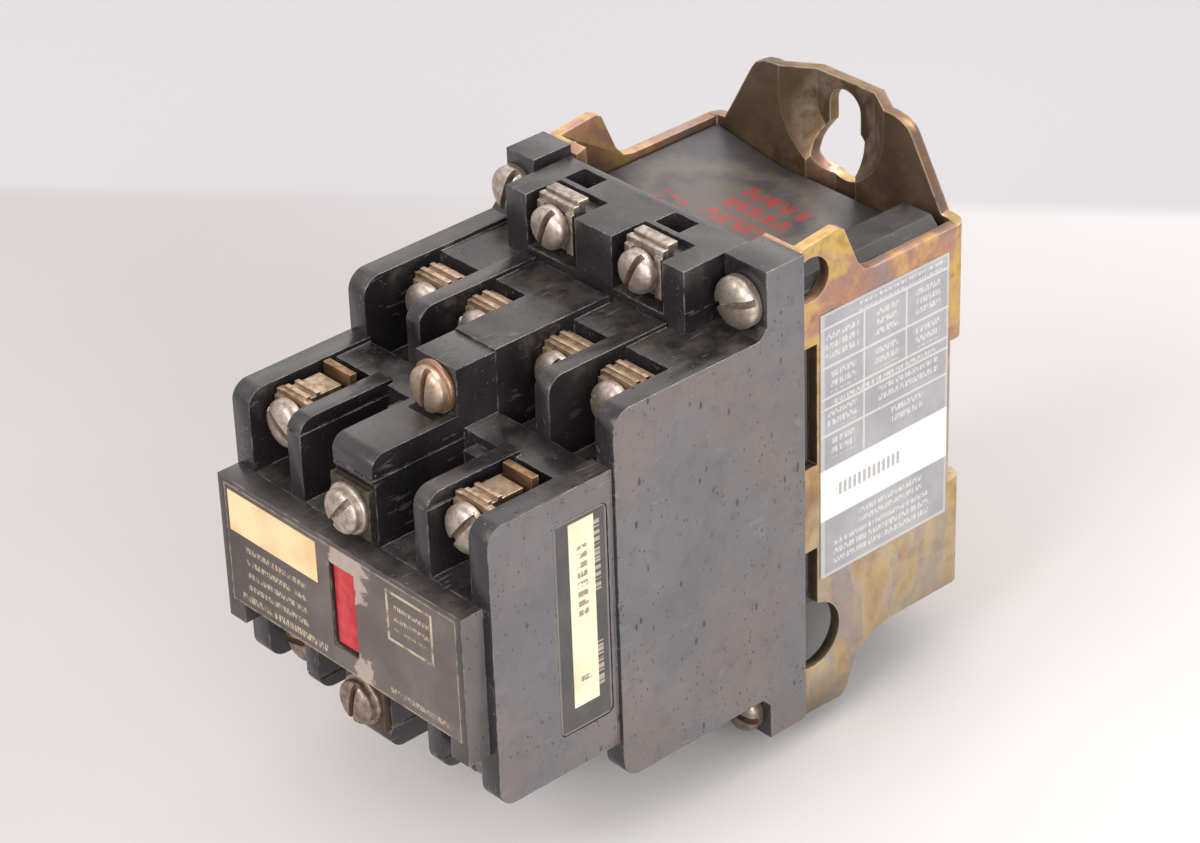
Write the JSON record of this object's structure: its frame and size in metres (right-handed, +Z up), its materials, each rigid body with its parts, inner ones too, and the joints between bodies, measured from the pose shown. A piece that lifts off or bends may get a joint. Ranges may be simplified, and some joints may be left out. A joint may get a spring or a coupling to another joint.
{
  "type": "industrial control relay",
  "caption": "Panel-mounted electromagnetic control relay with a front contact deck, screw terminals, moving armature and contact carriers, and a sheet steel keyhole bracket.",
  "frame": {"origin": "centre line of the relay on the rear mounting face of the bracket, at the mid height of the contact block", "axes": "+X to the right seen from the front, +Y towards the panel (the front faces -Y), +Z up"},
  "size_m": [0.0618, 0.1109, 0.0949],
  "materials": {
    "chromated_steel": "yellow chromate over zinc, stained",
    "rating_label_print": "printed grey and white label",
    "black_phenolic": "satin moulded phenolic",
    "coil_resin": "matt moulded coil",
    "enamelled_copper": "enamelled copper wire",
    "nylon_bobbin": "matt",
    "tinned_strip": "dull tin plate",
    "nickel_screw": "dull nickel plate with stains",
    "magnet_steel": "ground steel laminations",
    "bare_copper": "bare copper",
    "cushion_rubber": "matt",
    "plated_screw": "bright plated",
    "brass_strip": "tarnished brass",
    "clamp_plate": "tinned, tarnished",
    "dark_plate": "browned",
    "spring_steel": "bright",
    "rusty_screw": "rusty",
    "cap_plastic": "satin",
    "nameplate_print": "printed film, semi gloss",
    "tag_paper": "aged paper",
    "side_label_print": "printed film",
    "strip_paper": "aged paper",
    "carrier_phenolic": "satin",
    "red_plastic": "gloss"
  },
  "bodies": {
    "relay_body": {"mounting_bracket": "chromated_steel", "rating_label": "rating_label_print", "base_housing": "black_phenolic", "coil_block": "coil_resin", "coil_winding": "enamelled_copper", "coil_bobbin": "nylon_bobbin", "coil_terminal_block": "black_phenolic", "coil_terminal_strips": "tinned_strip", "coil_clamp_plates": "tinned_strip", "coil_terminal_screws": "nickel_screw", "magnet_side_blocks": "black_phenolic", "magnet_yoke": "magnet_steel", "shading_rings": "bare_copper", "yoke_cushion": "cushion_rubber", "block_mounting_screws": "plated_screw", "base_terminal_strips": "brass_strip", "base_clamp_plates": "clamp_plate", "base_terminal_screws": "nickel_screw", "return_springs": "spring_steel", "deck_housing": "black_phenolic", "deck_terminal_strips": "brass_strip", "deck_clamp_plates": "clamp_plate", "deck_terminal_screws": "nickel_screw", "deck_mounting_screws": "rusty_screw", "front_rib_clamps": "dark_plate", "front_rib_screws": "nickel_screw", "nameplate_cap": "cap_plastic", "nameplate": "nameplate_print", "paper_tag": "tag_paper", "deck_side_label": "side_label_print", "deck_side_strip": "strip_paper"},
    "armature_assembly": {"armature": "magnet_steel", "armature_pin": "magnet_steel", "base_contact_carrier": "carrier_phenolic", "base_contact_bridges": "brass_strip", "base_contact_springs": "spring_steel"},
    "deck_carrier_assembly": {"deck_contact_carrier": "carrier_phenolic", "deck_contact_bridges": "brass_strip", "deck_contact_springs": "spring_steel", "position_indicator": "red_plastic"}
  },
  "joints": [
    {"name": "armature_stroke", "type": "slide", "parent": "relay_body", "child": "armature_assembly", "axis": [0, 1, 0], "range_m": [0, 0.004], "stiffness_N_per_m": 1200, "springref_m": -0.004, "deforming": ["return_springs"]},
    {"name": "deck_stroke", "type": "slide", "parent": "relay_body", "child": "deck_carrier_assembly", "axis": [0, 1, 0], "range_m": [0, 0.004]}
  ],
  "couplings": [
    {"joint": "deck_stroke", "follows": "armature_stroke", "ratio": 1}
  ]
}
